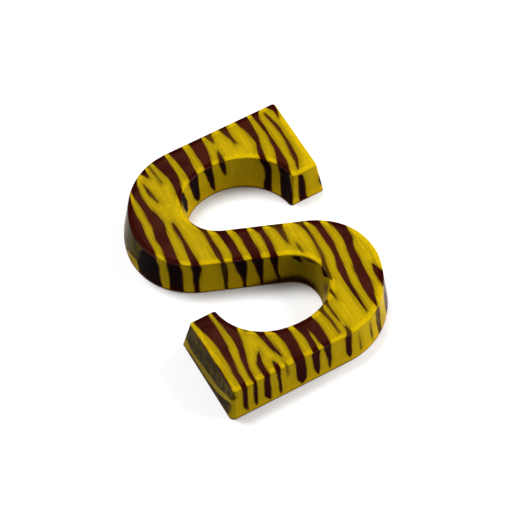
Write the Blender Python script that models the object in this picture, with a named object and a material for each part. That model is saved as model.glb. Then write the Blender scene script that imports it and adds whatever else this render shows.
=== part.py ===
"""A chocolate letter S: one solid slab with drafted walls and a softly rounded top edge.

The letter lies flat. X runs to its right, Y up the letter and Z up from the table. The shape is its own
half turned by 180 degrees, so only one half of the outline is written down.
"""

import math

import bpy

MM = 0.001

# The slab
THICKNESS = 20.5
DRAFT = 2.85  # how much further out the outline stands at the base than at the top
TOP_EDGE_RADIUS = 0.5
TOP_EDGE_STEPS = 4

# The outline of the top face: corners and the places where a curve begins or ends
HALF_WIDTH = 46.7
HALF_HEIGHT = 63.2
BAR_END_X = -11.7  # the straight top edge ends here
BOWL_LEFT = (-46.6, 29.6)  # leftmost point of the upper bowl
SPINE_START = (-25.6, 0.9)
SPINE_END = (7.8, -12.4)
COUNTER_RIGHT = (20.6, -29.5)  # rightmost point of the lower counter
COUNTER_BOTTOM = (-2.5, -46.5)
TERMINAL_INNER = (-33.5, -22.4)  # inner corner of the lower terminal
TERMINAL_SLOPE = math.radians(98.5)  # heading of the counter where it meets that corner

# How far the two handles of each curve reach from its start and from its end
BOWL_TOP_REACH = (25.8, 10.0)
BOWL_BASE_REACH = (15.8, 11.5)
COUNTER_TOP_REACH = (7.2, 9.9)
COUNTER_SIDE_REACH = (9.5, 13.4)
COUNTER_BASE_REACH = (18.0, 12.7)

# Radii of the three corners in plan: outer corner, terminal's inner corner, terminal's outer corner
TOP_RADII = (1.5, 1.2, 1.3)
BASE_RADII = (2.9, 1.7, 1.6)

CURVE_STEPS = 22
SPINE_STEPS = 4
CORNER_STEPS = 6

COATING_YELLOW = (0.62, 0.45, 0.01, 1)
COATING_ROUGHNESS = 0.35


def add(a, b, scale=1.0):
    return (a[0] + b[0] * scale, a[1] + b[1] * scale)


def unit(a):
    size = math.hypot(*a)
    return (a[0] / size, a[1] / size)


def outward(heading):
    """The normal on the right of a heading, which is outside when the outline runs anticlockwise."""
    return (heading[1], -heading[0])


def bezier(start, end, start_heading, end_heading, reach):
    """Points and headings of a cubic from start to just before end."""
    first = add(start, start_heading, reach[0])
    second = add(end, end_heading, -reach[1])
    places = []
    for step in range(CURVE_STEPS):
        t = step / CURVE_STEPS
        s = 1 - t
        weights = (s**3, 3 * s * s * t, 3 * s * t * t, t**3)
        slopes = (-s * s, s * s - 2 * s * t, 2 * s * t - t * t, t * t)
        corners = (start, first, second, end)
        point = tuple(sum(w * c[i] for w, c in zip(weights, corners)) for i in (0, 1))
        heading = tuple(sum(w * c[i] for w, c in zip(slopes, corners)) for i in (0, 1))
        places.append((point, unit(heading)))
    return places


def meeting(point_a, heading_a, point_b, heading_b):
    """Where two straight lines cross."""
    gap = add(point_b, point_a, -1)
    turn = heading_a[0] * heading_b[1] - heading_a[1] * heading_b[0]
    along = (gap[0] * heading_b[1] - gap[1] * heading_b[0]) / turn
    return add(point_a, heading_a, along)


def rounded_corner(corner, heading_in, heading_out, radius):
    """Points of the arc that rounds a left-turning corner."""
    turn = math.acos(heading_in[0] * heading_out[0] + heading_in[1] * heading_out[1])
    start = add(corner, heading_in, -radius * math.tan(turn / 2))
    centre = add(start, outward(heading_in), -radius)
    first = math.atan2(*reversed(outward(heading_in)))
    angles = [first + turn * step / CORNER_STEPS for step in range(CORNER_STEPS + 1)]
    return [add(centre, (math.cos(a), math.sin(a)), radius) for a in angles]


def half_outline(grow, radii):
    """Half of the outline, anticlockwise from the upper right corner, moved outwards by grow."""
    outer_radius, inner_radius, terminal_radius = radii
    left, down, up = (-1, 0), (0, -1), (0, 1)
    spine = unit(add(SPINE_END, SPINE_START, -1))
    into_terminal = (math.cos(TERMINAL_SLOPE), math.sin(TERMINAL_SLOPE))

    outer_corner = (HALF_WIDTH + grow, HALF_HEIGHT + grow)
    terminal_flat_y = TERMINAL_INNER[1] + grow
    inner_side = add(TERMINAL_INNER, outward(into_terminal), grow)
    inner_corner = meeting(inner_side, into_terminal, (0, terminal_flat_y), left)
    terminal_corner = (-HALF_WIDTH - grow, terminal_flat_y)
    inner_arc = rounded_corner(inner_corner, into_terminal, left, inner_radius)
    counter_end = add(inner_arc[0], outward(into_terminal), -grow)

    bar_end = (BAR_END_X, HALF_HEIGHT)
    run = add(SPINE_END, SPINE_START, -1)
    shares = [step / SPINE_STEPS for step in range(SPINE_STEPS)]
    places = bezier(bar_end, BOWL_LEFT, left, down, BOWL_TOP_REACH)
    places += bezier(BOWL_LEFT, SPINE_START, down, spine, BOWL_BASE_REACH)
    places += [(add(SPINE_START, run, share), spine) for share in shares]
    places += bezier(SPINE_END, COUNTER_RIGHT, spine, down, COUNTER_TOP_REACH)
    places += bezier(COUNTER_RIGHT, COUNTER_BOTTOM, down, left, COUNTER_SIDE_REACH)
    places += bezier(COUNTER_BOTTOM, counter_end, left, into_terminal, COUNTER_BASE_REACH)

    moved = [add(point, outward(heading), grow) for point, heading in places]
    outer_arc = rounded_corner(outer_corner, up, left, outer_radius)
    terminal_arc = rounded_corner(terminal_corner, left, down, terminal_radius)
    return outer_arc + moved + inner_arc + terminal_arc


def outline(grow, radii):
    half = half_outline(grow, radii)
    return half + [(-x, -y) for x, y in half]


def levels():
    """Height, outward growth and corner radii of each ring, from the base up and over the top edge."""
    slope = math.atan2(DRAFT, THICKNESS)
    reach = TOP_EDGE_RADIUS * math.tan((math.pi / 2 - slope) / 2)
    rows = [(0.0, DRAFT, BASE_RADII)]
    for step in range(TOP_EDGE_STEPS + 1):
        angle = slope + (math.pi / 2 - slope) * step / TOP_EDGE_STEPS
        height = THICKNESS - TOP_EDGE_RADIUS * (1 - math.sin(angle))
        grow = -reach + TOP_EDGE_RADIUS * math.cos(angle)
        rows.append((height, grow, TOP_RADII))
    return rows


def material():
    made = bpy.data.materials.new("yellow_coated_chocolate")
    made.use_nodes = True
    shader = made.node_tree.nodes["Principled BSDF"]
    shader.inputs["Base Color"].default_value = COATING_YELLOW
    shader.inputs["Roughness"].default_value = COATING_ROUGHNESS
    return made


def letter():
    """The closed mesh: one ring of vertices a level, walls between the rings and a flat cap at each end."""
    rows = levels()
    vertices = []
    for height, grow, radii in rows:
        vertices += [(x * MM, y * MM, height * MM) for x, y in outline(grow, radii)]
    count = len(vertices) // len(rows)
    faces = [tuple(reversed(range(count)))]
    for row in range(len(rows) - 1):
        for i in range(count):
            j = (i + 1) % count
            a, b = row * count, (row + 1) * count
            faces.append((a + i, a + j, b + j, b + i))
    last = (len(rows) - 1) * count
    faces.append(tuple(range(last, last + count)))
    mesh = bpy.data.meshes.new("chocolate_letter")
    mesh.from_pydata(vertices, [], faces)
    mesh.materials.append(material())
    made = bpy.data.objects.new("chocolate_letter", mesh)
    bpy.context.scene.collection.objects.link(made)
    return made


def main():
    for old in list(bpy.data.objects):
        bpy.data.objects.remove(old)
    letter()


main()
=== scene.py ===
# %% [markdown]
# # A chocolate letter in tiger stripes
#
# The real object is a flat-lying letter S, cast in one piece. The mould is first painted with dark
# strokes, then sprayed with yellow cocoa butter, and then filled with chocolate. So the outside is a
# thin, shiny coat of paint on a plain solid, and the mould's fine ribs show on the top face.
#
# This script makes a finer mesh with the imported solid's outline, adds the ribs, works out where the
# brush strokes lie, and builds the finishes from nodes.

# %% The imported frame
import math

import bpy
import numpy as np
from mathutils import Matrix, Vector, geometry


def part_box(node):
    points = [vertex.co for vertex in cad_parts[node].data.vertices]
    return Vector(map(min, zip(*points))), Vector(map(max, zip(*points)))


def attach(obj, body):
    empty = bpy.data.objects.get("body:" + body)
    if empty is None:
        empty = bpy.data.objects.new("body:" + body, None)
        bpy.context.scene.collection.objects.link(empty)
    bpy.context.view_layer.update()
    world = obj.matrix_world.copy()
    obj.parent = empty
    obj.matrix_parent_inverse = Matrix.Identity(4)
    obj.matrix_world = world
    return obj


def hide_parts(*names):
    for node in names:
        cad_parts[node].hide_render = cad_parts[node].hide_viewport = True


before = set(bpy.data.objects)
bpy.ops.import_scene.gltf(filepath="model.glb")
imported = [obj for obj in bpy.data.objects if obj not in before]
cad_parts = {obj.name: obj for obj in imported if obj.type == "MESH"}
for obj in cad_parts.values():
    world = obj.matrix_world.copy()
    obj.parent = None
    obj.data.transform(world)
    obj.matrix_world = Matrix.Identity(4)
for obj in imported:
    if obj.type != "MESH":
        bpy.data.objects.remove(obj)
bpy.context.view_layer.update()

MM = 0.001
NODE = "chocolate_letter"
low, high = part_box(NODE)
print("the solid is", [round((b - a) / MM, 2) for a, b in zip(low, high)], "mm")

# %% [markdown]
# ## The sizes
#
# The letter has two round bowls, a straight spine between them and a straight bar at each end, and it
# is its own half turned by 180 degrees. The outline could be traced as a curve object, but half of it,
# written as a few places and as how far each curve's handles reach, is shorter and easy to correct.
# Everything is in millimetres, with X to the letter's right, Y up the letter and Z up from the table.

# %% Sizes of the slab
THICKNESS = high.z / MM
HALF_WIDTH = 46.7
HALF_HEIGHT = 63.2
DRAFT = high.y / MM - HALF_HEIGHT  # how much further out the walls stand at the base
TOP_EDGE_RADIUS = 0.5
BASE_EDGE_RADIUS = 0.35
print("draft", round(DRAFT, 2), "mm, thickness", round(THICKNESS, 2), "mm")

# %% Sizes of its outline
BAR_END = (-11.7, HALF_HEIGHT)  # the straight top edge ends here
BOWL_LEFT = (-46.6, 29.6)  # leftmost point of the upper bowl
SPINE_START = (-25.6, 0.9)
SPINE_END = (7.8, -12.4)
COUNTER_RIGHT = (20.6, -29.5)  # rightmost point of the lower counter
COUNTER_BOTTOM = (-2.5, -46.5)
TERMINAL_INNER = (-33.5, -22.4)  # inner corner of the lower terminal
TERMINAL_SLOPE = math.radians(98.5)  # heading of the counter where it meets that corner

# How far the two handles of each curve reach, from its start and from its end
BOWL_TOP_REACH = (25.8, 10.0)
BOWL_BASE_REACH = (15.8, 11.5)
COUNTER_TOP_REACH = (7.2, 9.9)
COUNTER_SIDE_REACH = (9.5, 13.4)
COUNTER_BASE_REACH = (18.0, 12.7)

# Corner radii in plan: outer corner, terminal's inner corner, terminal's outer corner
TOP_RADII = (1.5, 1.2, 1.3)
BASE_RADII = (2.9, 1.7, 1.6)

LEFT, DOWN, UP = (-1.0, 0.0), (0.0, -1.0), (0.0, 1.0)
RING_STEP = 0.6  # about how far apart the points of the outline are
LENGTH_PER_REACH = 1.4  # a quarter bend is about this much longer than its two handles
CORNER_POINTS = 12
print("the top face is", 2 * HALF_WIDTH, "x", 2 * HALF_HEIGHT, "mm")

# %% [markdown]
# ## One ring of the outline
#
# A ring is the outline at one height. An extruded curve with a bevel could make the walls, but rings
# that are worked out keep their lean exact. Each piece of a ring is a straight run, a cubic curve or
# the arc of a rounded corner, and all of them can be moved outwards by the same amount. A piece always
# gets the same number of points, whatever the amount, so that two rings join point by point.


# %% Straight runs, cubic curves and corner arcs
def unit(vector):
    """The vector divided by its own length."""
    return np.asarray(vector, float) / np.hypot(*vector)


def outward(heading):
    """The normal to the right of a heading: outside, when the ring runs anticlockwise."""
    heading = np.asarray(heading, float)
    return np.stack([heading[..., 1], -heading[..., 0]], -1)


def cubic(begin, end, begin_heading, end_heading, reach, grow):
    """A cubic curve moved along its own normals: the four Bernstein weights give its places, and
    their slopes give its headings. The end point is left for the next piece."""
    begin, end = np.asarray(begin, float), np.asarray(end, float)
    handles = np.stack([
        begin,
        begin + unit(begin_heading) * reach[0],
        end - unit(end_heading) * reach[1],
        end,
    ])
    length = sum(reach) * LENGTH_PER_REACH
    t = np.linspace(0, 1, round(length / RING_STEP), endpoint=False)[:, None]
    s = 1 - t
    weights = np.hstack([s**3, 3 * s * s * t, 3 * s * t * t, t**3])
    slopes = np.hstack([-s * s, s * s - 2 * s * t, 2 * s * t - t * t, t * t])
    headings = slopes @ handles
    headings /= np.hypot(*headings.T)[:, None]
    return weights @ handles + outward(headings) * grow


def straight(begin, end, design_length):
    """Evenly spaced points without the last one, as many as the unmoved outline's length asks for."""
    t = np.linspace(0, 1, round(design_length / RING_STEP), endpoint=False)[:, None]
    return np.asarray(begin) * (1 - t) + np.asarray(end) * t


def corner_arc(corner, heading_in, heading_out, radius):
    """A left-turning corner rounded off: points at equal angles on a circle that touches both sides."""
    heading_in, heading_out = unit(heading_in), unit(heading_out)
    turn = math.acos(heading_in @ heading_out)
    begin = np.asarray(corner) - heading_in * radius * math.tan(turn / 2)
    side = outward(heading_in)
    angles = math.atan2(side[1], side[0]) + np.linspace(0, turn, CORNER_POINTS)
    return begin - side * radius + radius * np.stack([np.cos(angles), np.sin(angles)], -1)


def crossing(point_a, heading_a, point_b, heading_b):
    """Where two straight lines cross: one equation for each axis, solved for both ways along."""
    sides = np.stack([unit(heading_a), -unit(heading_b)], -1)
    along = np.linalg.solve(sides, np.asarray(point_b) - np.asarray(point_a))
    return np.asarray(point_a) + unit(heading_a) * along[0]


# %% The whole ring
def ring(grow, radii):
    """The outline moved outwards by grow, anticlockwise from the upper right corner. The second half
    is the first one turned by 180 degrees."""
    outer_radius, inner_radius, terminal_radius = radii
    spine = unit(np.subtract(SPINE_END, SPINE_START))
    into_terminal = np.array([math.cos(TERMINAL_SLOPE), math.sin(TERMINAL_SLOPE)])
    flat_y = TERMINAL_INNER[1] + grow
    side = np.asarray(TERMINAL_INNER) + outward(into_terminal) * grow
    inner_corner = crossing(side, into_terminal, (0.0, flat_y), LEFT)
    outer_arc = corner_arc((HALF_WIDTH + grow, HALF_HEIGHT + grow), UP, LEFT, outer_radius)
    inner_arc = corner_arc(inner_corner, into_terminal, LEFT, inner_radius)
    terminal_arc = corner_arc((-HALF_WIDTH - grow, flat_y), LEFT, DOWN, terminal_radius)
    counter_end = inner_arc[0] - outward(into_terminal) * grow
    bar_end = (BAR_END[0], HALF_HEIGHT + grow)
    offset = outward(spine) * grow
    half = np.concatenate([
        outer_arc[:-1],
        straight(outer_arc[-1], bar_end, HALF_WIDTH - BAR_END[0]),
        cubic(BAR_END, BOWL_LEFT, LEFT, DOWN, BOWL_TOP_REACH, grow),
        cubic(BOWL_LEFT, SPINE_START, DOWN, spine, BOWL_BASE_REACH, grow),
        straight(SPINE_START + offset, SPINE_END + offset, math.dist(SPINE_START, SPINE_END)),
        cubic(SPINE_END, COUNTER_RIGHT, spine, DOWN, COUNTER_TOP_REACH, grow),
        cubic(COUNTER_RIGHT, COUNTER_BOTTOM, DOWN, LEFT, COUNTER_SIDE_REACH, grow),
        cubic(COUNTER_BOTTOM, counter_end, LEFT, into_terminal, COUNTER_BASE_REACH, grow),
        inner_arc[:-1],
        straight(inner_arc[-1], terminal_arc[0], HALF_WIDTH + TERMINAL_INNER[0]),
        terminal_arc[:-1],
        straight(terminal_arc[-1], -outer_arc[0], HALF_HEIGHT + TERMINAL_INNER[1]),
    ])
    return np.concatenate([half, -half])


# The distance along the rim of the top face is the walls' own ruler: it starts at the upper right
# corner and runs anticlockwise.
rim = ring(0.0, TOP_RADII)
rim_steps = np.hypot(*(np.roll(rim, -1, axis=0) - rim).T)
rim_ruler = np.concatenate([[0.0], np.cumsum(rim_steps)[:-1]])
PERIMETER = rim_steps.sum()
print(len(rim), "points round the rim of", round(PERIMETER, 1), "mm")

# %% [markdown]
# ## Walls and edges
#
# The walls lean outwards towards the base, as a cast piece needs to leave its mould. The top edge has
# a small rounding and the base edge a smaller one. A Bevel modifier would give both the same width, so
# each edge gets its own arc of rings instead. One more ring just beside each arc holds the smooth
# shading, so that the straight walls don't look swollen.

# %% The stack of rings
BASE_EDGE_RINGS = 4
TOP_EDGE_RINGS = 6
WALL_RINGS = 13
WALL_END_GAP = 1.5  # from the base and from the top face to the nearest of the wall's rings
HOLDING_GAP = 0.25


def edge_arc(height, growth, radius, angles):
    """Points on a circle round a centre at this height and growth."""
    return np.stack([height + radius * np.sin(angles), growth + radius * np.cos(angles)], -1)


def ring_levels():
    """Height and outward growth of each ring, from the base to the top face. Both edges are arcs that
    touch the leaning wall and the flat face beside it."""
    lean = math.atan2(DRAFT, THICKNESS)
    quarter = math.pi / 2
    inset = DRAFT - BASE_EDGE_RADIUS * math.tan((quarter + lean) / 2)
    angles = np.linspace(-quarter, lean, BASE_EDGE_RINGS)
    base = edge_arc(BASE_EDGE_RADIUS, inset, BASE_EDGE_RADIUS, angles)
    inset = -TOP_EDGE_RADIUS * math.tan((quarter - lean) / 2)
    angles = np.linspace(lean, quarter, TOP_EDGE_RINGS)
    top = edge_arc(THICKNESS - TOP_EDGE_RADIUS, inset, TOP_EDGE_RADIUS, angles)
    heights = np.linspace(WALL_END_GAP, THICKNESS - WALL_END_GAP, WALL_RINGS)
    heights = np.r_[base[-1, 0] + HOLDING_GAP, heights, top[0, 0] - HOLDING_GAP]
    wall = np.stack([heights, DRAFT * (1 - heights / THICKNESS)], -1)
    return np.concatenate([base, wall, top])


def mixed_radii(height):
    """The corner radii at a height: those of the top and of the base, mixed evenly."""
    share = np.clip(1 - height / THICKNESS, 0, 1)
    return tuple(a + (b - a) * share for a, b in zip(TOP_RADII, BASE_RADII))


levels = ring_levels()
rings = np.stack([
    np.column_stack([ring(grow, mixed_radii(height)), np.full(len(rim), height)])
    for height, grow in levels
])
print(len(levels), "rings of", rings.shape[1], "points")

# %% [markdown]
# ## The ribbed top face
#
# The mould's floor is finely ribbed, straight up the letter, with a smooth margin inside the rim. Bump
# in the material could fake the ribs, but the mesh would stay flat, so they are real relief. The face
# has to follow both the curved rim and the straight ribs: its inner points stand in straight columns,
# six to a rib, and a Delaunay triangulation joins them to the rim. The ribs sink below the face, so
# the letter keeps its thickness.

# %% Sizes of the ribs
RIB_PITCH = 1.17
RIB_DEPTH = 0.07
RIB_COLUMNS = 6
ROW_STEP = 1.4
SMOOTH_MARGIN = 1.7  # from the rim to where the ribs begin
FADE_WIDTH = 0.9  # over which they reach their full depth
CLEAR_OF_RIM = 0.3  # no inner point lies nearer to the rim than this
print("ribs", RIB_PITCH, "mm apart and", RIB_DEPTH, "mm deep")


# %% Inside the rim or not, and how far from it
def smoothstep(low_end, high_end, value):
    """0 up to the low end, 1 from the high end on, and 3 t squared minus 2 t cubed between them."""
    t = np.clip((value - low_end) / (high_end - low_end), 0, 1)
    return t * t * (3 - 2 * t)


def inside_ring(points, outline):
    """Even-odd rule: a point is inside if a ray to its right crosses the outline an odd number of
    times."""
    first, second = outline, np.roll(outline, -1, axis=0)
    x, y = points[:, :1], points[:, 1:]
    spans = (first[:, 1] > y) != (second[:, 1] > y)
    rise = second[:, 1] - first[:, 1]
    share = (y - first[:, 1]) / np.where(rise == 0, 1, rise)
    return (spans & (x < first[:, 0] + share * (second[:, 0] - first[:, 0]))).sum(1) % 2 == 1


def distance_to_ring(points, outline, blocks=40):
    """The shortest distance from each point to the outline's straight pieces: the point is dropped on
    each piece, but not past its ends. Blocks of points keep the arrays small."""
    step = np.roll(outline, -1, axis=0) - outline
    nearest = []
    for block in np.array_split(points, blocks):
        offset = block[:, None] - outline
        share = np.clip((offset * step).sum(-1) / (step * step).sum(-1), 0, 1)
        gap = offset - share[..., None] * step
        nearest.append(np.sqrt((gap * gap).sum(-1).min(1)))
    return np.concatenate(nearest)


# %% Columns of points, and their triangles
face_ring = rings[-1, :, :2]
rib_columns = np.arange(-HALF_WIDTH, HALF_WIDTH, RIB_PITCH / RIB_COLUMNS)
point_rows = np.arange(-HALF_HEIGHT, HALF_HEIGHT, ROW_STEP)
grid = np.stack(np.meshgrid(rib_columns, point_rows), -1).reshape(-1, 2)
grid = grid[inside_ring(grid, face_ring)]
grid = grid[distance_to_ring(grid, face_ring) > CLEAR_OF_RIM]
ring_size = len(face_ring)
loop = [(i, (i + 1) % ring_size) for i in range(ring_size)]


def triangulated(points):
    """Triangles of the area inside the ring, which is made of the first points in the list. One that
    runs clockwise, by the sign of its two sides' cross product, is turned round."""
    made = geometry.delaunay_2d_cdt([Vector(p) for p in points], loop, [], 1, 1e-7)
    assert len(made[0]) == len(points)
    faces = np.array(made[2])
    corners = np.array([tuple(p) for p in made[0]])[faces]
    (ax, ay), (bx, by) = (corners[:, 1] - corners[:, 0]).T, (corners[:, 2] - corners[:, 0]).T
    clockwise = ax * by < ay * bx
    faces[clockwise] = faces[clockwise][:, ::-1]
    return faces


top_faces = triangulated(np.concatenate([face_ring, grid]))
base_faces = triangulated(rings[0, :, :2])[:, ::-1]
print(len(grid), "points and", len(top_faces), "triangles in the top face")

# %% The ribs' relief
rim_gap = distance_to_ring(grid, rim)
rib_strength = smoothstep(SMOOTH_MARGIN, SMOOTH_MARGIN + FADE_WIDTH, rim_gap)
rib_wave = 0.5 - 0.5 * np.cos(2 * math.pi * grid[:, 0] / RIB_PITCH)
top_points = np.column_stack([grid, THICKNESS - RIB_DEPTH * rib_strength * rib_wave])
print("the deepest groove is", round(THICKNESS - top_points[:, 2].min(), 3), "mm deep")

# %% [markdown]
# ## The brush strokes
#
# Each dark stripe is one stroke of a loaded brush. An image could hold them all, but only sharp at
# one size. So a stroke is written as a band that runs up the letter on the top face, or down a wall: a
# few places along its length, each with its left and right border, and a smooth line goes through
# them. On the top face a place is (y, left x, right x). On a wall it is (depth below the rim, start,
# end), along the rim's ruler. The last number is the paint's density, where 1 lets no yellow through.
#
# The mesh stores how deep inside a stroke each point lies, in millimetres, and not a painted colour:
# such a value can be interpolated, so the borders stay sharp between points.

# %% From strokes to a distance
FAR_OUTSIDE = -9.0


def through(stations, at):
    """A smooth line through (place, value) stations: cubic pieces whose slopes at the stations are
    those of the neighbours, held level past both ends."""
    places, values = (np.array(column, float) for column in zip(*sorted(stations)))
    slopes = np.gradient(values, places)
    at = np.clip(at, places[0], places[-1])
    index = np.clip(np.searchsorted(places, at, side="right") - 1, 0, len(places) - 2)
    width = places[index + 1] - places[index]
    t = (at - places[index]) / width
    rise = values[index + 1] - values[index]
    bend_in = slopes[index] * width - rise
    bend_out = rise - slopes[index + 1] * width
    return values[index] + rise * t + t * (1 - t) * (bend_in * (1 - t) + bend_out * t)


def stroke_distance(across, along, stroke):
    """How far inside a stroke each place lies: the least of the distances to its left border, its
    right border and its two ends. It is negative outside."""
    left = through([(s[0], s[1]) for s in stroke], along)
    right = through([(s[0], s[2]) for s in stroke], along)
    first, last = min(s[0] for s in stroke), max(s[0] for s in stroke)
    ends = np.minimum(along - first, last - along)
    return np.minimum(np.minimum(across - left, right - across), ends)


def strokes_distance(across, along, strokes):
    """The deepest of all strokes, and how dense the paint of that stroke is."""
    depth = np.full(across.shape, FAR_OUTSIDE)
    density = np.ones(across.shape)
    for stroke, paint in strokes:
        found = stroke_distance(across, along, stroke)
        density = np.where(found > depth, paint, density)
        depth = np.maximum(depth, found)
    return depth, density


# %% [markdown]
# ## Strokes on the top face
#
# The stripes run up the letter, across its bars, its bowls and its spine. Noise could scatter stripes
# by itself, but they would be any tiger's, so each stroke is placed one by one. Most run out over the
# rim, where the walls take them up, and some end in a point.

# %% Strokes on the top face: upper bowl and top bar
UPPER_STROKES = [
    ([(52, -50, -37.6), (49, -50, -38.5), (45, -50, -39.7), (40, -50, -40.3), (35, -50, -40.5),
      (30, -50, -41.5), (20, -50, -42.3), (14, -50, -43.4)], 1),
    ([(60, -36.5, -29.5), (55, -36.2, -32), (50, -36.3, -33.3), (45, -36.3, -33.6), (40, -36.3, -33),
      (35, -36.6, -31.8), (30, -37, -31.3), (25, -38.5, -32.7), (20, -38.6, -33.7), (15, -39.3, -34.4),
      (10, -40.2, -35.1), (4, -42, -36)], 1),
    ([(53.5, -29.4, -29.4), (50.5, -29.8, -28.9), (46, -29.6, -28.5), (41, -28.2, -27.8)], 0.85),
    ([(63, -29, -24.6), (59, -27.6, -25.1), (55, -25.6, -25.5)], 1),
    ([(64, -24, -22.3), (60, -23, -22), (55, -22.3, -21.7), (50, -21.6, -21.3)], 0.6),
    ([(65, -20.8, -13.6), (60, -19.7, -13.3), (55, -18.5, -13.3), (50, -17.5, -13.3), (47, -17.4, -13.9),
      (43, -18, -15), (40, -18.5, -16), (34, -19.6, -17)], 1),
    ([(65, -11.2, -4), (60, -10.2, -3.9), (55, -9.5, -3.9), (50, -9.3, -4.6), (43, -9.8, -5)], 1),
    ([(28, -28, -27.6), (24, -28.6, -27.4), (20, -28.6, -27.3), (15, -28.9, -27.5), (10, -29.8, -27.6),
      (5, -30.7, -27.7), (0, -32, -28.2)], 1),
    ([(65, -0.6, 7.3), (60, 0, 6.3), (55, 0.2, 5.6), (50, 0.2, 4.5), (47.5, 0, 3.8), (44, -1, 3)], 1),
    ([(65, 7.9, 12.9), (61, 9, 11.5), (57.5, 10.5, 10.6)], 0.9),
    ([(52.5, 9.7, 9.8), (48, 8, 10), (44, 6.6, 9.7)], 0.95),
    ([(65, 15.6, 20.3), (60, 17, 19.7), (57, 18, 19.5), (52, 19.3, 19.5)], 0.95),
    ([(65, 24.2, 31.3), (60, 25.8, 31.2), (55, 27.2, 31), (50, 27.8, 30.5), (47.5, 27.8, 29.7),
      (45, 27, 29), (42, 26, 28.3), (35, 24.6, 27)], 1),
    ([(65, 33.2, 39.6), (62, 33.8, 37.2), (60, 34, 36.2), (55, 34.5, 36), (50, 34.8, 35.8),
      (45, 34.3, 35.7), (40, 33.7, 35.8), (35, 32, 35.4), (31, 30.5, 35.2), (28, 31.6, 34.3),
      (24, 32.8, 33.2)], 1),
    ([(60.3, 39.7, 39.9), (58, 39.6, 40.6), (55, 40, 41.2), (50, 40.5, 42), (45, 40.7, 41.8),
      (40, 40.3, 41.6), (35, 39.5, 41.3), (30, 38.9, 40.5), (24.5, 37.4, 37.7)], 0.95),
    ([(66, 41.4, 50), (62.5, 42.3, 46.5), (60, 43.9, 46), (55, 44.5, 44.7)], 1),
]
print(len(UPPER_STROKES), "strokes on the upper half")

# %% Strokes on the top face: spine
SPINE_STROKES = [
    ([(23, -19.7, -15), (20, -18.9, -15.8), (17, -18.2, -16.2), (13, -17.9, -16.2), (8, -18.2, -16.3),
      (3, -18.7, -16.4), (-1, -18.4, -17), (-4, -18.8, -17.4)], 0.95),
    ([(17, -14.5, -9.8), (13, -12.5, -8.6), (10, -12.1, -8.4), (5, -11.8, -8.2), (0, -12.1, -8.6),
      (-3, -13.2, -8.6), (-7, -14.6, -9.2)], 1),
    ([(13, -6.2, 0.9), (8, -4.6, 0.2), (5, -4.1, 0), (0, -4.6, -0.4), (-5, -5, -0.6),
      (-10, -5.8, -1.6)], 1),
    ([(10, 1.2, 8.4), (5, 3.9, 7), (3, 4.5, 6.8), (0, 4.4, 6.9), (-5, 3.9, 6.6), (-8, 3.2, 6.1),
      (-13, 2.2, 5.4)], 1),
    ([(6, 8.5, 18.5), (3, 11.3, 16.4), (1, 12.3, 15.3), (-3, 12.6, 14.5), (-8, 13.1, 13.3)], 0.9),
    ([(3, 19.8, 26.5), (0, 21.5, 25.2), (-2, 22.5, 24.8), (-5, 23.6, 25), (-10, 24, 24.9),
      (-15, 23.7, 24.6), (-20, 23, 24.2), (-23, 22.3, 23.7), (-25, 21.3, 23.2), (-27, 20.2, 22.7),
      (-30, 19.5, 22), (-34.5, 20.5, 21.4)], 0.85),
    ([(-9.5, 16.4, 16.5), (-12, 16.1, 17), (-15.8, 16.6, 16.9)], 0.55),
]
print(len(SPINE_STROKES), "strokes on the spine")

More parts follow.
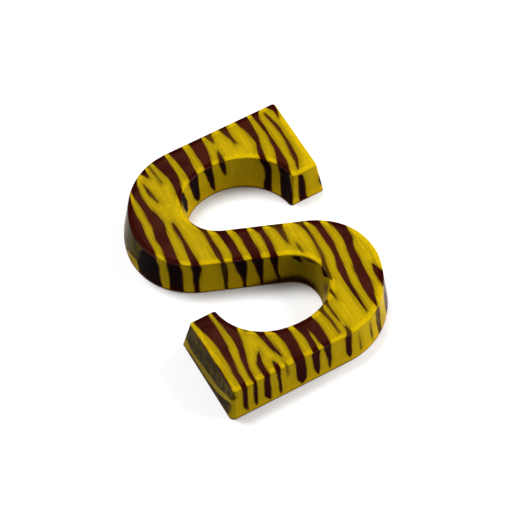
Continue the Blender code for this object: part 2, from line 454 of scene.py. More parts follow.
# %% Strokes on the top face: lower bowl and bottom bar
LOWER_STROKES = [
    ([(0, 25.2, 33.5), (-3, 27, 32.2), (-5, 28.4, 31.8), (-10, 28.9, 31.8), (-15, 28.8, 31.8),
      (-20, 28.9, 31.3), (-25, 28.2, 30.2), (-30, 26.4, 29.5), (-35, 25.7, 28.4), (-40, 25.5, 27.5),
      (-45, 25.5, 27), (-50, 25.7, 26.8), (-57, 26.2, 26.4)], 1),
    ([(-4, 34, 44), (-8, 35.4, 42), (-10, 36, 41.6), (-15, 36.6, 40.9), (-20, 36.4, 40.4), (-25, 35, 38.2),
      (-30, 34.1, 37.7), (-35, 32.7, 37), (-40, 31.8, 36.4), (-45, 31.1, 35.7), (-50, 30.9, 33.9),
      (-56.5, 31.5, 31.8)], 1),
    ([(-36.5, 41.2, 41.4), (-38, 40.5, 42), (-40, 39.8, 42.5), (-42, 39.6, 43.3), (-49, 39.6, 43.6)], 1),
    ([(-36, 15.8, 18.2), (-38, 16.5, 17.9), (-41, 16.9, 17.8), (-44.7, 17.5, 17.6)], 0.9),
    ([(-42.5, 10.9, 13.8), (-45, 11.8, 13), (-50, 12.1, 13), (-54.7, 12.7, 12.9)], 0.85),
    ([(-44, 5.6, 10.6), (-46, 7.5, 9.8), (-50, 8.6, 9.8), (-55, 9.1, 10), (-60, 9.5, 9.7)], 0.85),
    ([(-58.5, 13.5, 13.6), (-61, 13, 14.2), (-65, 10.4, 13.6)], 0.9),
    ([(-44, -7.6, -1.8), (-48, -6.3, -1.9), (-51.5, -5.4, -1.9), (-55, -4.9, -2.4), (-60, -5.2, -2.6),
      (-65, -5.9, -3.2)], 1),
    ([(-44, -2.2, 2), (-47, -2.2, 2.7), (-51.5, -1.9, 3.7), (-55, -1, 3.8), (-60, -0.5, 3.4),
      (-65, 0.3, 3)], 1),
    ([(-43, -17.6, -9.7), (-46, -15.5, -9.6), (-50, -14.3, -9.3), (-55, -14.3, -9.5), (-60, -14.6, -10),
      (-65, -15.6, -10.8)], 1),
    ([(-39, -24, -19.4), (-42, -22.9, -19.9), (-45, -22.3, -19.8), (-50, -21.4, -19.5), (-54, -20.4, -19.1),
      (-58, -18.9, -18.8)], 1),
    ([(-37.1, -27, -26.6), (-38, -27, -26.1), (-38.8, -26.5, -26.2)], 0.7),
    ([(-20, -36, -30), (-25, -35.2, -30), (-30, -34.5, -30), (-35, -34.1, -29.4), (-37, -33.9, -30),
      (-40, -33.8, -30.5), (-45, -34.1, -31.4), (-50, -35.4, -32.9), (-55, -36.1, -34.5), (-60, -36.3, -35),
      (-65, -36, -35.2)], 1),
    ([(-20, -44.6, -37.3), (-25, -44.3, -37.3), (-30, -43.2, -37.1), (-35, -42.1, -37.2),
      (-40, -41.6, -37.5), (-45, -41.4, -38.4), (-50, -41.4, -39.1), (-55, -42, -39.8), (-60, -42.2, -40),
      (-65, -42.4, -40.3)], 1),
    ([(-24, -50, -47.1), (-30, -50, -46.8), (-34, -50, -46.6), (-38, -50, -46.4), (-42, -50, -46.5),
      (-46, -50, -46.5), (-50, -50, -46), (-54, -50, -46.1), (-58, -50, -46.4), (-61, -50, -46.8),
      (-64, -50, -47.5)], 1),
    ([(-50.3, -26.9, -26.7), (-53, -28.9, -27.3), (-55, -30.2, -27.9), (-60, -30.7, -28.4),
      (-65, -30.5, -28.1)], 1),
    ([(-58, -24, -23.8), (-60, -24.3, -22.7), (-65, -25.2, -23)], 1),
    ([(-61, -19.4, -19.3), (-65, -20.1, -18.9)], 0.8),
]
TOP_STROKES = UPPER_STROKES + SPINE_STROKES + LOWER_STROKES
print(len(TOP_STROKES), "strokes on the top face in all")

# %% [markdown]
# ## Strokes down the walls
#
# Where a stroke reaches the rim it runs on down the wall, and often narrows to a point a little above
# the table. Projected down from the top face, the stripes would only be straight bars there. So the
# walls have strokes of their own, along the rim's ruler, in lists named after the part of the letter.
# The last list is for the top bar's right end, which faces away from the camera.

# %% Strokes on the walls: left bowl to the lower bar's left end
FOOT = 22  # below the table: a stroke with this end runs right down to the foot
BOWL_WALL = [
    ([(-1, 96, 122), (0, 96, 122), (9, 97, 122), (13, 97.6, 117), (15, 98, 111), (18, 98.8, 107),
      (FOOT, 99.5, 104.5)], 0.85),
    ([(-1, 110, 125), (0, 112, 126.1), (5, 112, 128.9), (10, 114, 129.7), (15, 117.3, 130.2),
      (20, 119.3, 131.4), (FOOT, 119.6, 131.6)], 1),
    ([(-1, 133, 138.2), (0, 133.2, 138.6), (5, 133.6, 140.1), (10, 134.5, 140.3), (15, 134.8, 140.6),
      (FOOT, 135.2, 141.2)], 1),
    ([(-1, 144.4, 148), (0, 144.5, 148.2), (3, 144.8, 149), (5, 145.1, 148.6), (10, 145.3, 147.8),
      (15, 145.6, 147.6), (FOOT, 146, 147.9)], 1),
]
SPINE_WALL = [
    ([(-1, 157.6, 160), (0, 157.8, 160), (5, 158.6, 160.9), (10, 159, 160.9), (15, 159.3, 160.8),
      (FOOT, 159.5, 160.6)], 0.95),
    ([(-1, 164, 169), (0, 164, 169.4), (5, 165, 170.1), (8, 165.7, 169.9), (10, 166.6, 169.7),
      (15, 168, 169.4), (FOOT, 168.3, 169.4)], 1),
    ([(-1, 172.5, 177.3), (0, 172.5, 177.5), (5, 173.8, 177.6), (10, 174.8, 177.5), (15, 176.1, 177.4),
      (FOOT, 176.4, 177.2)], 1),
    ([(-1, 180.6, 184.6), (0, 180.6, 184.7), (5, 181.8, 184.5), (10, 182.8, 184.3), (15, 184, 185.1),
      (FOOT, 185, 186.3)], 1),
]
COUNTER_WALL = [
    ([(-1, 189.5, 193.3), (0, 190, 193.9), (1.5, 191, 194.6), (2.8, 192.2, 195.2), (4, 193.8, 195.7),
      (4.8, 195, 195.4)], 1),
    ([(0.5, 196, 204.6), (1.2, 196.4, 204), (1.9, 197.6, 202), (2.5, 199, 200)], 0.8),
    ([(-1, 205.4, 213), (0, 205.8, 212.8), (1.5, 206.6, 212), (3, 207.9, 210.8), (4.2, 209, 209.4)], 1),
]
END_WALL = [
    ([(-1, 297, 336), (0, 297, 336.4), (7, 297.3, 336.5), (8, 297.5, 334.9), (8.7, 297.6, 332.6),
      (10, 297.8, 329.6), (12, 298, 324.8), (13, 298.5, 317.9), (14, 300, 312), (14.7, 303, 308)], 0.85),
    ([(10.2, 335.7, 336.2), (11.6, 334, 336.5), (14.4, 329.5, 336.4), (16.7, 324.3, 336.3),
      (17.9, 318, 336.2), (18.7, 306, 336), (19.3, 299, 335.9), (FOOT, 298, 335.8)], 0.9),
]
print(len(BOWL_WALL + SPINE_WALL + COUNTER_WALL + END_WALL), "strokes so far")

# %% Strokes on the walls: lower bar to the top bar's right end
ARM_WALL = [
    ([(-1, 341.2, 343.6), (0, 341.5, 343.8), (5, 341.8, 344), (10, 342.1, 344), (15, 342.6, 344.1),
      (18.2, 344.2, 344.5)], 1),
    ([(-1, 347.2, 348.7), (0, 347.2, 348.8), (5, 347.3, 349), (10, 347.5, 349.1), (15, 347.9, 349.2),
      (17.3, 348.9, 349.1)], 1),
    ([(-1, 352.8, 355.3), (0, 352.9, 355.5), (5, 352.8, 355.5), (10, 352.9, 355.9), (15, 353.5, 356),
      (18, 355.5, 356)], 1),
    ([(-1, 358.4, 360.6), (0, 358.8, 360.9), (5, 359.5, 361), (10, 360.3, 361.3), (15, 360.4, 361.5),
      (17.6, 361.1, 361.3)], 1),
    ([(-1, 363.6, 364.6), (1, 364.1, 364.9), (5, 364.5, 365.3), (8, 365, 365.2)], 0.6),
    ([(-1, 368.7, 373.5), (0, 368.8, 373.5), (5, 369.1, 373.8), (10, 369.4, 374.2), (15, 370, 374),
      (17, 371, 373.6), (18.2, 372, 372.6)], 1),
    ([(-1, 377, 382), (0, 377.2, 381.9), (3, 377.6, 381.2), (5, 377.8, 381), (10, 378, 381.1),
      (15, 379.1, 380.9), (17.6, 380.3, 380.6)], 1),
    ([(-1, 383.2, 387), (0, 383.5, 387), (3, 384.1, 387), (10, 385.4, 387), (15, 385.8, 386.6),
      (17.2, 386.2, 386.4)], 1),
    ([(-2, 395.4, 397), (0, 395, 397.6), (5, 395, 397.8), (10, 394.8, 397.5), (14, 395.3, 397.5),
      (17, 396.6, 397)], 1),
]
RIGHT_BOWL_WALL = [
    ([(3.5, 402, 402.1), (8, 402, 402.4), (12, 402.2, 402.8), (16.5, 402.5, 402.7)], 0.8),
    ([(1.5, 409.1, 409.2), (5, 409, 409.5), (10, 409, 409.7), (14, 409.4, 409.9),
      (17.5, 409.8, 410)], 0.9),
    ([(-1, 413.5, 417.5), (0, 413.8, 417.6), (10, 414.1, 417.5), (15, 414.4, 417),
      (FOOT, 414.8, 416.6)], 0.9),
    ([(-1, 428.5, 440), (0, 427.3, 439.6), (4, 425.8, 439), (8, 425.4, 437.6), (12, 425, 436),
      (16, 425, 434.4), (19, 425.4, 432.6), (FOOT, 426.4, 430.8)], 1),
]
UPPER_COUNTER_WALL = [
    ([(-1, 554, 558.6), (0, 554, 558.8), (5, 554.7, 559.2), (10, 555.3, 560), (15, 557.5, 558.5)], 1),
    ([(-1, 564.3, 570.6), (0, 564.4, 570.6), (5, 565, 570.3), (10, 565.6, 570), (15, 566.5, 569.7),
      (17.8, 568, 569)], 1),
    ([(-1, 573.8, 578.3), (0, 574, 578.4), (5, 575.3, 578.8), (10, 576.3, 579), (15, 577.3, 579),
      (17.8, 578.5, 578.9)], 1),
    ([(-1, 582.6, 585), (0, 582.6, 585), (3, 583, 585.6), (5, 583.4, 585.6), (8, 584.3, 585.6),
      (10.3, 585.2, 585.5)], 1),
    ([(-1, 601.8, 605), (0, 601.9, 605.3), (2, 602.4, 607), (4, 603.9, 607.8), (10, 604.9, 608),
      (15, 604.6, 608.2), (FOOT, 604.3, 608.9)], 1),
    ([(-1, 610.6, 617), (0, 610.9, 617.5), (2, 611.9, 618.6), (5, 612.8, 619.7), (10, 613.3, 620.7),
      (15, 613.9, 621.1), (FOOT, 614.4, 621.3)], 1),
    ([(-1, 623.2, 625), (0, 623.4, 625), (3, 623.7, 625.9), (8, 623.9, 626.6), (15, 624, 626.6),
      (FOOT, 624.5, 627.3)], 1),
]
RIGHT_END_WALL = [
    ([(8.5, 633.4, 634.2), (11, 632.9, 635.6), (15, 633.4, 636.8), (18, 634.4, 637.6),
      (FOOT, 635.4, 637.8)], 1),
    ([(-1, 644, 648.5), (0, 644.2, 648.2), (6, 645, 648.6), (12, 646.6, 649), (17, 648.4, 649)], 1),
    ([(-1, 653.4, 655), (0, 653.4, 655.2), (8, 652.8, 655.4), (14, 652.6, 654.2), (18, 653.2, 653.5)], 1),
    ([(-1, 660, 665), (0, 660.2, 665), (7, 660, 663.8), (13, 660.4, 662.8), (FOOT, 660.8, 662)], 1),
]
HAND_MADE = BOWL_WALL + SPINE_WALL + COUNTER_WALL + END_WALL + ARM_WALL
HAND_MADE += RIGHT_BOWL_WALL + UPPER_COUNTER_WALL + RIGHT_END_WALL
print(len(HAND_MADE), "wall strokes by hand")

# %% [markdown]
# ## Strokes carried on down the walls at the back
#
# The other walls face away from the camera, and they are striped as well. More lists would do, but a
# rule is shorter: wherever the rim lies inside a stroke of the top face, the stroke goes on down the
# wall. A wide one is split into fingers, because a brush loses its paint in streaks. Their drift,
# length and narrowing are drawn from a fixed seed, so they are the same every time.

# %% One finger of paint
WIDEST_FINGER = 8.0
SPLIT_JITTER = 1.0  # how far a split between two fingers may be off its even place
SLIM_FINGER = 6.0  # one narrower than this runs dry sooner
SLIM_LENGTHS, FULL_LENGTHS = (9, 18.5), (14, 25)
DRIFTS = (-1.8, 2.2)  # sideways, from the rim to the tip
NARROWINGS = (0.12, 0.36)  # share of the width that each side has lost by four fifths of the length
HALF_TIP = 0.15
DENSITIES = (0.985, 1.0)


def finger(left, right, random):
    """A stroke from the rim to its tip: both borders lean with the drift and close in on the middle."""
    width = right - left
    drift = random.uniform(*DRIFTS)
    length = random.uniform(*(SLIM_LENGTHS if width < SLIM_FINGER else FULL_LENGTHS))
    narrow = random.uniform(*NARROWINGS) * width
    middle = (left + right) / 2 + drift
    stations = [
        (-1, left, right),
        (0, left, right),
        (length * 0.45, left + drift * 0.3 + narrow * 0.5, right + drift * 0.6 - narrow * 0.4),
        (length * 0.8, left + drift * 0.8 + narrow, right + drift - narrow),
        (length, middle - HALF_TIP, middle + HALF_TIP),
    ]
    return stations, random.uniform(*DENSITIES)


# %% Fingers wherever a stroke meets the rim at the back
BACK_WALLS = [(1.5, 96.0), (221.5, 296.0), (441.5, 553.0)]  # stretches of the rim's ruler
random = np.random.default_rng(11)
rim_depth, _ = strokes_distance(rim[:, 0], rim[:, 1], TOP_STROKES)
carried = []
for wall_start, wall_end in BACK_WALLS:
    inside = (rim_depth > 0) & (rim_ruler > wall_start) & (rim_ruler < wall_end)
    turns = np.flatnonzero(np.diff(inside.astype(int)))
    for first, last in zip(turns[::2], turns[1::2]):
        fingers = math.ceil((rim_ruler[last + 1] - rim_ruler[first]) / WIDEST_FINGER)
        edges = np.linspace(rim_ruler[first], rim_ruler[last + 1], fingers + 1)
        edges[1:-1] += random.uniform(-SPLIT_JITTER, SPLIT_JITTER, fingers - 1)
        carried += [finger(left, right, random) for left, right in zip(edges, edges[1:])]
WALL_STROKES = HAND_MADE + carried
print(len(carried), "wall strokes carried on by rule")

# %% [markdown]
# ## Painted shade, thin dark paint, and strokes in the lamp's light
#
# In places, mostly deep in the lower counter and on walls turned away from the lamps, such as the lower
# bar's left end, shade is painted into the coat as a dark haze over the yellow, mixed with some thin
# dark paint. A stroke would give it borders, so each haze is a soft round patch: its place along the
# ruler, its depth, how wide and how high it spreads, and how strong it is in the middle. On the lower
# bar's long wall and round the lower bowl, which face the near lamp, the strokes are painted lighter,
# maroon and not black, as painted light; on most other walls their black is painted shade.

# %% Hazy patches and thin strokes
# Painted shade, with some thin dark paint: darker patches in the lower counter and on walls turned from the
# lamps
HAZE_AND_SHADE_PATCHES = [
    (194, 19.5, 13, 4, 1.0),  # these five are in or beside the lower counter
    (196, 9, 14, 14, 0.58),
    (182, 20, 9, 2.5, 0.6),
    (212, 17, 9, 6, 0.3),
    (214, 8, 3.5, 5, 0.7),
    (314, 12, 21, 14, 0.5),  # the lower bar's left end
    (111, 14, 9, 9, 0.4),  # the left bowl
    (176, 12, 9, 9, 0.2),  # under the spine
    (421, 15, 6, 9, 0.3),  # the right bowl
]
# walls lit by the near lamp, where the strokes keep their maroon as painted light
LAMP_LIT_WALLS = (338, 545)
LAMP_LIT_FADE = 3


def haze_and_shade_at(ruler, depth_down):
    """The sum of all patches, at most 1: each fades like a bell around its place."""
    haze_and_shade = np.zeros(ruler.shape)
    for along, down, width, height, most in HAZE_AND_SHADE_PATCHES:
        haze_and_shade += most * np.exp(-((ruler - along) / width) ** 2 - ((depth_down - down) / height) ** 2)
    return np.minimum(haze_and_shade, 1)


def lamp_lit_at(ruler):
    """1 on the walls lit by the near lamp, whose strokes are painted lighter, and 0 on the others,
    with a smooth change between.
    """
    first, last = LAMP_LIT_WALLS
    rising = smoothstep(first - LAMP_LIT_FADE, first + LAMP_LIT_FADE, ruler)
    return rising * smoothstep(last + LAMP_LIT_FADE, last - LAMP_LIT_FADE, ruler)


print(len(HAZE_AND_SHADE_PATCHES), "hazy patches")

# %% [markdown]
# ## One closed mesh
#
# The rings make the walls, and the two triangulated faces close them. A loop could add the points one
# by one, but whole arrays handed over at once are faster. Every point also gets what the finishes
# need, such as its depth inside a stroke, and a UV map says which way the brush moved: up the letter
# on the top face, and straight down on the walls.

# %% What the finishes need at each point
OVER_THE_RIM = 1.3  # by this depth the top face's strokes have given way to the wall's


def wall_values():
    """The values of every ring. At the rim the wall's strokes take over from the top face's."""
    depth_down = (THICKNESS - rings[..., 2]).ravel()
    ruler = np.broadcast_to(rim_ruler, rings.shape[:2]).ravel()
    on_wall = strokes_distance(ruler, depth_down, WALL_STROKES)
    on_top = strokes_distance(rings[..., 0].ravel(), rings[..., 1].ravel(), TOP_STROKES)
    share = smoothstep(0.0, OVER_THE_RIM, depth_down)
    depth = on_top[0] * (1 - share) + on_wall[0] * share
    return {
        "stripe": depth,
        "paint": on_top[1] * (1 - share) + on_wall[1] * share,
        "down": depth_down,
        "rim_gap": np.zeros(len(ruler)),
        "haze_and_shade": haze_and_shade_at(ruler, depth_down) * share,
        "lamp_lit": lamp_lit_at(ruler),
    }


top_depth, top_density = strokes_distance(top_points[:, 0], top_points[:, 1], TOP_STROKES)
top_values = {"stripe": top_depth, "paint": top_density, "rim_gap": rim_gap}
nothing = np.zeros(len(top_points))
walls = wall_values()
point_values = {name: np.r_[walls[name], top_values.get(name, nothing)] for name in walls}
print("stripes cover", round(float((top_depth > 0).mean()) * 100), "% of the top face")


# %% From arrays to a mesh
def wall_quads():
    """Quads between neighbouring rings: the point, the next one along, and both of those one ring
    further up."""
    row, column = np.meshgrid(np.arange(len(rings) - 1), np.arange(ring_size), indexing="ij")
    following = (column + 1) % ring_size
    base = row * ring_size
    quads = [base + column, base + following, base + ring_size + following, base + ring_size + column]
    return np.stack(quads, -1).reshape(-1, 4)


def new_mesh(name, vertices, polygons):
    """A mesh from arrays: all corners in one list, and where each polygon starts in it."""
    mesh = bpy.data.meshes.new(name)
    sizes = np.concatenate([np.full(len(p), p.shape[1]) for p in polygons])
    corners = np.concatenate([p.ravel() for p in polygons])
    mesh.vertices.add(len(vertices))
    mesh.vertices.foreach_set("co", (vertices * MM).astype(np.float32).ravel())
    mesh.loops.add(len(corners))
    mesh.loops.foreach_set("vertex_index", corners.astype(np.int32))
    mesh.polygons.add(len(sizes))
    mesh.polygons.foreach_set("loop_start", np.r_[0, np.cumsum(sizes)[:-1]].astype(np.int32))
    mesh.update(calc_edges=True)
    mesh.shade_smooth()
    return mesh, corners


def placed(name, data):
    """A new object in the scene."""
    made = bpy.data.objects.new(name, data)
    bpy.context.scene.collection.objects.link(made)
    return made


# The top face's triangles count the rim's points first. In the mesh those are the last ring.
quads = wall_quads()
top_start = len(rings) * ring_size
last_ring = top_start - ring_size
on_ring = top_faces < ring_size
top_index = np.where(on_ring, top_faces + last_ring, top_faces - ring_size + top_start)
vertices = np.concatenate([rings.reshape(-1, 3), top_points])
letter_mesh, corners = new_mesh("chocolate_letter_shell", vertices, [quads, top_index, base_faces])
print(len(vertices), "points,", len(quads) * 2 + len(top_index) + len(base_faces), "triangles")

# %% The brush's own map, and the stored values
BRUSH_UNIT = 100  # mm


def brush_map():
    """Where each corner lies for the brush: along the rim and down on the walls, and plain x and y on
    the flat faces. The last column of quads counts on past the ruler's start."""
    ruler = np.broadcast_to(rim_ruler, rings.shape[:2]).ravel()
    across = np.r_[ruler, nothing][corners]
    along = -point_values["down"][corners]
    wall_corners = quads.size
    by_quad = across[:wall_corners].reshape(-1, 4)
    by_quad[by_quad.max(1) - by_quad.min(1) > PERIMETER / 2, 1:3] = PERIMETER
    across[:wall_corners] = by_quad.ravel()
    across[wall_corners:] = vertices[corners[wall_corners:], 0]
    along[wall_corners:] = vertices[corners[wall_corners:], 1]
    return np.stack([across, along], -1) / BRUSH_UNIT


letter_mesh.uv_layers.new(name="brush").uv.foreach_set("vector", brush_map().astype(np.float32).ravel())
for name, values in point_values.items():
    attribute = letter_mesh.attributes.new(name, "FLOAT", "POINT")
    attribute.data.foreach_set("value", values.astype(np.float32))
letter = placed("tiger_striped_letter", letter_mesh)
print(len(point_values), "values at each point:", ", ".join(point_values))

# %% [markdown]
# ## A way to write shader sums
#
# A material is a net of nodes, long and hard to read when it is written node by node. So one small
# class wraps a node's output: adding or multiplying two of them makes the Math node and links it.


# %% The socket class
class Wire:
    """A node's output that can be used in Python sums."""

    def __init__(self, tree, socket=None):
        self.tree = tree
        self.socket = socket

    def node(self, kind, settings=None, sockets=None, output=0):
        """A new node with these settings, then these values or links on its inputs."""
        made = self.tree.nodes.new(kind)
        for name, value in (settings or {}).items():
            setattr(made, name, value)
        for key, value in (sockets or {}).items():
            if isinstance(value, Wire):
                self.tree.links.new(value.socket, made.inputs[key])
            else:
                made.inputs[key].default_value = value
        return Wire(self.tree, made.outputs[output] if made.outputs else None)

    def sum_of(self, operation, *values):
        """One Math node on these values."""
        return self.node("ShaderNodeMath", {"operation": operation}, dict(enumerate(values)))

    def __add__(self, other):
        return self.sum_of("ADD", self, other)

    def __sub__(self, other):
        return self.sum_of("SUBTRACT", self, other)

    def __rsub__(self, other):
        return self.sum_of("SUBTRACT", other, self)

    def __mul__(self, other):
        return self.sum_of("MULTIPLY", self, other)

    __radd__ = __add__
    __rmul__ = __mul__

    def step(self, low_end, high_end):
        """A smooth rise from 0 at the low end to 1 at the high end, or a fall if they are swapped."""
        settings = {"interpolation_type": "SMOOTHSTEP"}
        return self.node("ShaderNodeMapRange", settings, {0: self, 1: low_end, 2: high_end})

    def blend(self, other, factor):
        """This colour changed into the other one by a factor."""
        return self.node("ShaderNodeMix", {"data_type": "RGBA"}, {0: factor, 6: self, 7: other}, 2)

    def noise(self, scale, detail=2.0, roughness=0.5):
        """Smooth noise from 0 to 1, read at this vector stretched by a scale for each axis."""
        stretched = self.node("ShaderNodeMapping", {}, {"Vector": self, "Scale": scale})
        sockets = {"Vector": stretched, "Scale": 1.0, "Detail": detail, "Roughness": roughness}
        return self.node("ShaderNodeTexNoise", {}, sockets)


def new_material(name):
    """A material with its node tree emptied, and a first wire to build from."""
    made = bpy.data.materials.new(name)
    made.use_nodes = True
    made.node_tree.nodes.clear()
    return made, Wire(made.node_tree)


# %% [markdown]
# ## The painted coat
#
# Coloured cocoa butter is a thin skin, and its colour changes with its thickness. Light and shade are
# painted into it as well: painted shade in the grooves, in the lower counter and on the walls turned
# from the lamps, painted highlights on the crests, along the rim and on its margin, and a painted glow
# low on the walls. An image wrapped round the letter would blur from near by. Instead each tone is a
# colour of its own, and masks from 0 to 1, worked out from the mesh's values and from noise, say where
# it shows.

# %% The coat's colours, and what it reads
YELLOW = (0.360, 0.243, 0.001, 1)
# DEEP_YELLOW is the paint's own deeper tone in streaks and specks, and also painted shade in the grooves
# and haze patches
DEEP_YELLOW = (0.215, 0.148, 0.0005, 1)
MARGIN_HIGHLIGHT_YELLOW = (0.450, 0.300, 0.001, 1)
TABLE_BOUNCE_GOLD = (0.500, 0.300, 0.001, 1)
MAROON = (0.019, 0.0018, 0.0008, 1)
RIM_HIGHLIGHT_BROWN = (0.095, 0.040, 0.036, 1)
MAROON_IN_PAINTED_SHADE = (0.004, 0.0009, 0.0008, 1)
CREST_HIGHLIGHT_BROWN = (0.058, 0.013, 0.005, 1)
CHOCOLATE = (0.105, 0.042, 0.008, 1)
coat, coat_nodes = new_material("tiger_striped_coat")


def stored(name):
    """A value that the mesh stores at its points."""
    return coat_nodes.node("ShaderNodeAttribute", {"attribute_name": name}, output="Fac")


def plain(colour):
    """A wire that carries one colour."""
    made = coat_nodes.node("ShaderNodeRGB")
    made.socket.default_value = colour
    return made


place = coat_nodes.node("ShaderNodeTexCoord", output="Object")
brush = coat_nodes.node("ShaderNodeUVMap", {"uv_map": "brush"})
depth_in, paint, below = stored("stripe"), stored("paint"), stored("down")
from_rim, stored_haze_and_shade, stored_lamp_lit = stored("rim_gap"), stored("haze_and_shade"), stored("lamp_lit")
on_wall = below.step(0.3, 1.5)
print(len(coat.node_tree.nodes), "nodes so far")

# %% [markdown]
# ## The ribs in the colours
#
# The ribs' light and shade is painted into the colours: a painted shade makes the yellow deeper in the
# grooves, and a painted highlight makes the dark paint browner on the crests. The relief alone is too
# fine to show it, so the cosine that shaped it is used again, as a value from 0 on a crest to 1 in a
# groove.

# %% Crests and grooves
across_ribs = coat_nodes.node("ShaderNodeSeparateXYZ", {}, {0: place})
rib_angle = across_ribs * (2 * math.pi / (RIB_PITCH * MM))
groove = 0.5 - 0.5 * coat_nodes.sum_of("COSINE", rib_angle)
ribbed = from_rim.step(SMOOTH_MARGIN, SMOOTH_MARGIN + FADE_WIDTH)
print(round(2 * HALF_WIDTH / RIB_PITCH), "ribs side by side")

# %% [markdown]
# ## The borders of the strokes
#
# A real brush leaves ragged borders, thin places and dry streaks beside the stroke. The stored depth
# is smooth, so noise is added before it is turned into a mask. On the letter's own coordinates noise
# looks like clouds, but on the brush's map, stretched along the stroke, it looks like bristles.

# %% Ragged borders, thin places and dry streaks
# Cells in one brush unit: 150 across and 7 along make streaks 0.7 mm wide and 14 mm long
RAGS, BRISTLES, WEAR = (110, 14, 1), (150, 7, 1), (26, 16, 1)
SPREAD = 0.3  # how far the paint flows past the border that was written
RAG_WIDTH, BRISTLE_WIDTH = 0.9, 0.6  # how far each noise moves the border
HALF_BLUR = 0.48
DRY_REACH = 2.6

ragged = brush.noise(RAGS, 3)
bristles = brush.noise(BRISTLES, 3, 0.6)
border = depth_in + SPREAD + (ragged - 0.5) * RAG_WIDTH + (bristles - 0.5) * BRISTLE_WIDTH
worn = brush.noise(WEAR, 3, 0.6)
gaps = bristles.step(0.42, 0.62) * (1 - on_wall) + worn.step(0.4, 0.7) * on_wall
lost = (1 - paint) * (gaps + 0.1 + 0.3 * on_wall) * 1.6
covered = border.step(-HALF_BLUR, HALF_BLUR) * (1 - lost)
dry = depth_in.step(-DRY_REACH, 0.0) * bristles.step(0.44, 0.66) * (0.55 - 0.3 * on_wall)
# the painted shade of the haze patches, streaked by the bristles
streaked_haze_and_shade = stored_haze_and_shade * (0.7 + 0.5 * bristles)
print(len(coat.node_tree.nodes), "nodes so far")

# %% [markdown]
# ## The yellow
#
# The sprayed yellow is nowhere quite even. One noise over one colour would only look dusty, so each
# change has its own cause: streaks, a deeper tone beside the strokes, a painted shade in the grooves, a
# painted gold glow low on the walls for light thrown up from the table, a painted highlight on the
# margin where the mould is smooth, fine specks, and the painted shade and thin paint of the haze.

# %% Layers of yellow
CLOUDS, SPECKS = (60, 60, 60), (850, 850, 850)  # cells in a metre: 17 mm and 1.2 mm wide
STREAKS = (160, 5, 1)  # on the brush's map

cloudy = place.noise(CLOUDS, 3)
streaky = brush.noise(STREAKS, 3, 0.6)
speckled = place.noise(SPECKS, 2)
# painted highlight: the smooth margin inside the rim is made brighter
highlight_margin = (from_rim + (cloudy - 0.5) * 2).step(2.8, SMOOTH_MARGIN) * below.step(0.6, 0.1)
yellow = plain(YELLOW)
yellow = yellow.blend(DEEP_YELLOW, streaky.step(0.40, 0.62) * (0.65 - 0.3 * on_wall))
yellow = yellow.blend(DEEP_YELLOW, depth_in.step(-4.0, -0.2) * (0.85 - 0.6 * on_wall))
# painted shade in the grooves of the ribs
yellow = yellow.blend(DEEP_YELLOW, groove * ribbed * cloudy.step(0.35, 0.65) * 0.3)
# painted light: gold low on the walls stands for light thrown up from the table
yellow = yellow.blend(TABLE_BOUNCE_GOLD, (below + (cloudy - 0.5) * 4).step(13.5, 19) * 0.5)
yellow = yellow.blend(MARGIN_HIGHLIGHT_YELLOW, highlight_margin * 0.55)
yellow = yellow.blend(DEEP_YELLOW, speckled.step(0.48, 0.66) * (0.45 - 0.25 * on_wall))
# painted shade: the haze patches darken the yellow
yellow = yellow.blend(DEEP_YELLOW, streaked_haze_and_shade.step(0.0, 0.45))
print(len(coat.node_tree.nodes), "nodes with the yellow")

# %% [markdown]
# ## The dark paint, its painted light and shade, and the chocolate at the foot
#
# The strokes are maroon on the top face, with a painted highlight that makes them browner on its
# crests. On most of the walls a painted shade makes them almost black in their middle; on the walls lit
# by the near lamp they stay maroon. A light brown line, a painted highlight, shows here and there where
# they bend over the rim, and plain chocolate at the very foot of the walls and on the underside. Paint
# and chocolate could be two shaders, but they differ in little more than colour, so one is enough.

# %% Layers of dark paint
FOOT_LINE = (THICKNESS - 1.3, THICKNESS - 0.8)

dark = plain(MAROON)
# painted highlight on the crests of the ribs
dark = dark.blend(CREST_HIGHLIGHT_BROWN, (1 - groove) * ribbed * cloudy.step(0.3, 0.6) * 0.75)
# painted shade: on the walls the strokes turn almost black in their middle, less so on the lamp-lit walls
painted_wall_shade = below.step(0.3, 2.0) * depth_in.step(0.0, 1.1) * (1 - 0.5 * below.step(11, 20))
dark = dark.blend(MAROON_IN_PAINTED_SHADE, painted_wall_shade * (1 - 0.9 * stored_lamp_lit))
# painted highlight: a light brown line where the strokes bend over the rounded rim
rim_highlight = below.step(0.0, 0.2) * below.step(0.75, 0.3)
dark = dark.blend(RIM_HIGHLIGHT_BROWN, rim_highlight * cloudy.step(0.4, 0.6) * 0.5)
foot = (below + (cloudy - 0.5) * 0.8).step(*FOOT_LINE)
# where the haze patches are strong, their painted shade turns into the dark paint
colour = yellow.blend(dark, dry).blend(dark, streaked_haze_and_shade.step(0.3, 1.0))
colour = colour.blend(dark, covered).blend(CHOCOLATE, foot * 0.8)
print("chocolate shows in the last", round(THICKNESS - FOOT_LINE[0], 1), "mm of the walls")

# %% [markdown]
# ## The gloss
#
# Cocoa butter takes the mould's polish, with fine pits, and the dark paint stands a little proud. A
# clear coat could give the gloss, but its white reflection would wash out the deep colours. So the
# mirror level is set very low: only a wall that is seen at a flat angle keeps its grey sheen.

# %% Gloss and fine relief
GRAIN, PITS = (2600, 2600, 2600), (700, 700, 700)
RELIEF_DEPTH = 0.00005  # metres

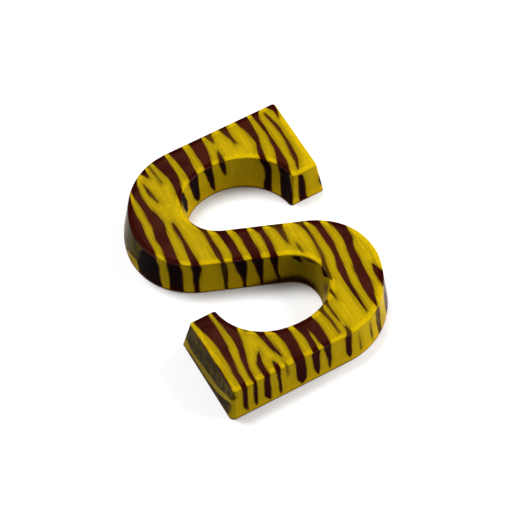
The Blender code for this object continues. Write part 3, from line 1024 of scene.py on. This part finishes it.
relief = place.noise(PITS, 3) * 0.6 + place.noise(GRAIN, 2) * 0.25 + covered * 0.5
bump = coat_nodes.node("ShaderNodeBump", {}, {"Strength": 0.35, "Distance": RELIEF_DEPTH, "Height": relief})
rough = 0.24 + (cloudy - 0.5) * 0.12 - covered * 0.05 + foot * 0.2
coat_shader = coat_nodes.node("ShaderNodeBsdfPrincipled", {}, {
    "Base Color": colour,
    "Roughness": rough,
    "Specular IOR Level": 0.005,
    "Normal": bump,
})
coat_nodes.node("ShaderNodeOutputMaterial", {}, {"Surface": coat_shader})
letter_mesh.materials.append(coat)
print(len(coat.node_tree.nodes), "nodes in the coat")

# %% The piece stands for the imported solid
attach(letter, "root")
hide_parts(NODE)
print(letter.name, "stands for", NODE)

# %% [markdown]
# ## The table
#
# The letter lies on a plain pale table. A curved backdrop could hide the horizon, but the camera looks
# down and sees none, so a flat square is enough. It has no gloss and a touch of blue.

# %% A flat square, three metres to each side
TABLE_REACH = 3000.0

table_corners = TABLE_REACH * np.array([[-1, -1, 0], [1, -1, 0], [1, 1, 0], [-1, 1, 0]])
table_mesh, _ = new_mesh("table", table_corners, [np.array([[0, 1, 2, 3]])])
white, table_nodes = new_material("white_table")
table_shader = table_nodes.node("ShaderNodeBsdfPrincipled", {}, {
    "Base Color": (0.815, 0.82, 0.835, 1),
    "Roughness": 0.9,
    "Specular IOR Level": 0.0,
})
table_nodes.node("ShaderNodeOutputMaterial", {}, {"Surface": table_shader})
table_mesh.materials.append(white)
table = placed("table", table_mesh)
print("the table is", 2 * TABLE_REACH * MM, "m wide")

# %% [markdown]
# ## The light
#
# The light is soft. A near lamp stands low at the right, a little to the front, and lights the walls
# that face it. A larger one hangs high, a little to the back, and lights the top face. A sun lamp
# would be simpler, but its light is hard. A dim white world fills in the rest.


# %% Two soft lamps and a white world
def soft_lamp(name, direction, distance, size, power):
    """A square lamp that faces the letter from a direction. Distance and size are in metres."""
    data = bpy.data.lights.new(name, "AREA")
    data.size = size
    data.energy = power
    lamp = placed(name, data)
    lamp.location = Vector(direction).normalized() * distance
    lamp.rotation_euler = lamp.location.to_track_quat("Z", "Y").to_euler()


soft_lamp("key", (0.93, -0.25, 0.50), 0.6, 0.5, 6.4)
soft_lamp("overhead", (-0.10, 0.47, 1.0), 1.8, 0.7, 36)
world = bpy.data.worlds.new("studio")
world.use_nodes = True
backdrop = world.node_tree.nodes["Background"].inputs
backdrop["Color"].default_value = (1, 1, 1, 1)
backdrop["Strength"].default_value = 0.26
bpy.context.scene.world = world
bpy.context.scene.view_settings.view_transform = "Standard"
print(len(bpy.data.lights), "lamps")

# %% [markdown]
# ## The camera
#
# The picture looks down over the letter's lower left. From near by, its far end would look much
# smaller, so the camera stands about a metre away with a long lens. Its angles, its place and its lens
# were fitted until the letter's outline lay on the photo's.

# %% The camera's place, in millimetres along its own axes, and its lens
CAMERA_TURN = math.radians(29.73)
CAMERA_ELEVATION = math.radians(59.09)
CAMERA_RIGHT = 0.66
CAMERA_UP = 4.32
CAMERA_BACK = 1076.2
LENS = 161.68359375  # mm, over film 36 mm wide

sin_turn, cos_turn = math.sin(CAMERA_TURN), math.cos(CAMERA_TURN)
sin_high, cos_high = math.sin(CAMERA_ELEVATION), math.cos(CAMERA_ELEVATION)
right = Vector((cos_turn, -sin_turn, 0))
up = Vector((sin_turn * sin_high, cos_turn * sin_high, cos_high))
back = -Vector((sin_turn * cos_high, cos_turn * cos_high, -sin_high))
camera_data = bpy.data.cameras.new("camera")
camera_data.lens = LENS
camera = placed("camera", camera_data)
axes = Matrix((right, up, back)).transposed().to_4x4()
camera_place = (right * CAMERA_RIGHT + up * CAMERA_UP + back * CAMERA_BACK) * MM
camera.matrix_world = Matrix.Translation(camera_place) @ axes
bpy.context.scene.camera = camera
print("the camera sees", round(math.degrees(camera_data.angle), 1), "degrees")
